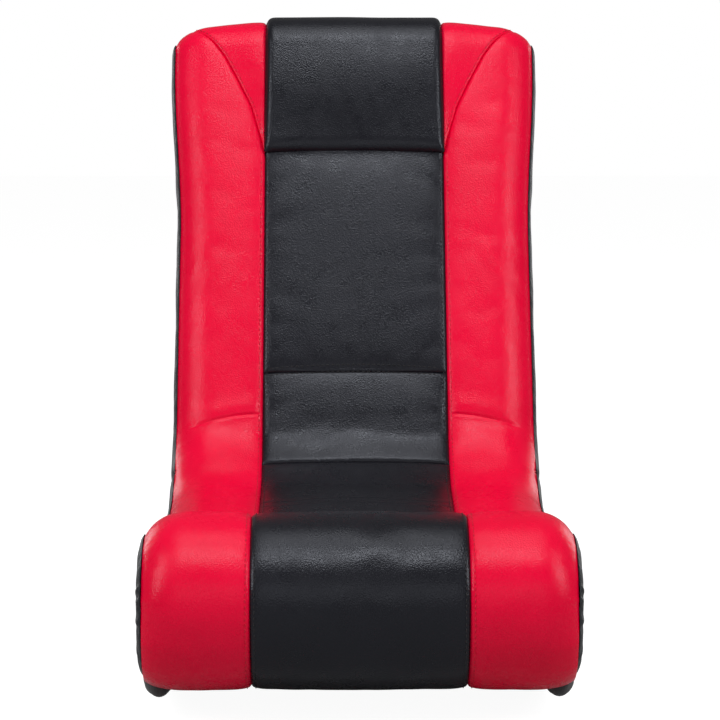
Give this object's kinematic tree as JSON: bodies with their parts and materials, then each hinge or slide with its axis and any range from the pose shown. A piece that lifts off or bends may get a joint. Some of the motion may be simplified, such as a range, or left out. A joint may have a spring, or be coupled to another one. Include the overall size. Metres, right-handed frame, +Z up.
{
  "type": "floor rocker chair",
  "caption": "Legless padded floor rocker with a thick front roll, a headrest and a backrest that folds forward on to the seat.",
  "frame": {"origin": "on the floor, under the middle of the whole chair", "axes": "+X to the right as seen from the front, +Y from the front roll to the backrest, +Z up"},
  "size_m": [0.422, 0.7714, 0.7122],
  "materials": {
    "red_leather": "fine grain, satin",
    "black_leather": "fine grain, satin",
    "black_side_cloth": "woven, matte",
    "black_cloth": "woven, matte",
    "sleeve_cloth": "heavy woven, matte",
    "foam": "open cell",
    "webbing": "woven",
    "frame_steel": "powder coat",
    "zinc_steel": "zinc plated",
    "black_plastic": "matte"
  },
  "bodies": {
    "seat": {"runner_tube_left": "frame_steel", "runner_tube_right": "frame_steel", "runner_sleeve_left": "sleeve_cloth", "runner_sleeve_right": "sleeve_cloth", "runner_plugs": "black_plastic", "front_cross_tube": "frame_steel", "middle_cross_tube": "frame_steel", "rear_cross_tube": "frame_steel", "seat_webbing": "webbing", "roll_foam": "foam", "seat_foam_pad": "foam", "seat_foam_base": "foam", "seat_panel": "black_leather", "seat_cover_left": "red_leather", "seat_cover_right": "red_leather", "seat_side_left": "black_side_cloth", "seat_side_right": "black_side_cloth", "underside_cloth": "black_cloth", "seat_end_cloth": "black_cloth", "hinge_bracket_left": "zinc_steel", "hinge_bracket_right": "zinc_steel", "stop_pins": "zinc_steel", "pivot_bolts": "zinc_steel", "pivot_washers": "zinc_steel", "lock_nuts": "zinc_steel"},
    "backrest": {"back_hoop": "frame_steel", "lower_back_tube": "frame_steel", "upper_back_tube": "frame_steel", "back_webbing": "webbing", "back_foam_front": "foam", "back_foam_rear": "foam", "headrest_foam": "foam", "headrest_cover": "black_leather", "back_panel": "black_leather", "lumbar_panel": "black_leather", "back_cover_left": "red_leather", "back_cover_right": "red_leather", "shoulder_gusset_left": "red_leather", "shoulder_gusset_right": "red_leather", "back_side_left": "black_side_cloth", "back_side_right": "black_side_cloth", "rear_cloth": "black_cloth", "back_end_cloth": "black_cloth", "hinge_arm_left": "zinc_steel", "hinge_arm_right": "zinc_steel", "pivot_bushes": "black_plastic"}
  },
  "joints": [
    {"name": "backrest_fold", "type": "hinge", "parent": "seat", "child": "backrest", "pos_m": [0, 0.08801, 0.19366], "axis": [1, 0, 0], "range_deg": [0, 105]}
  ]
}
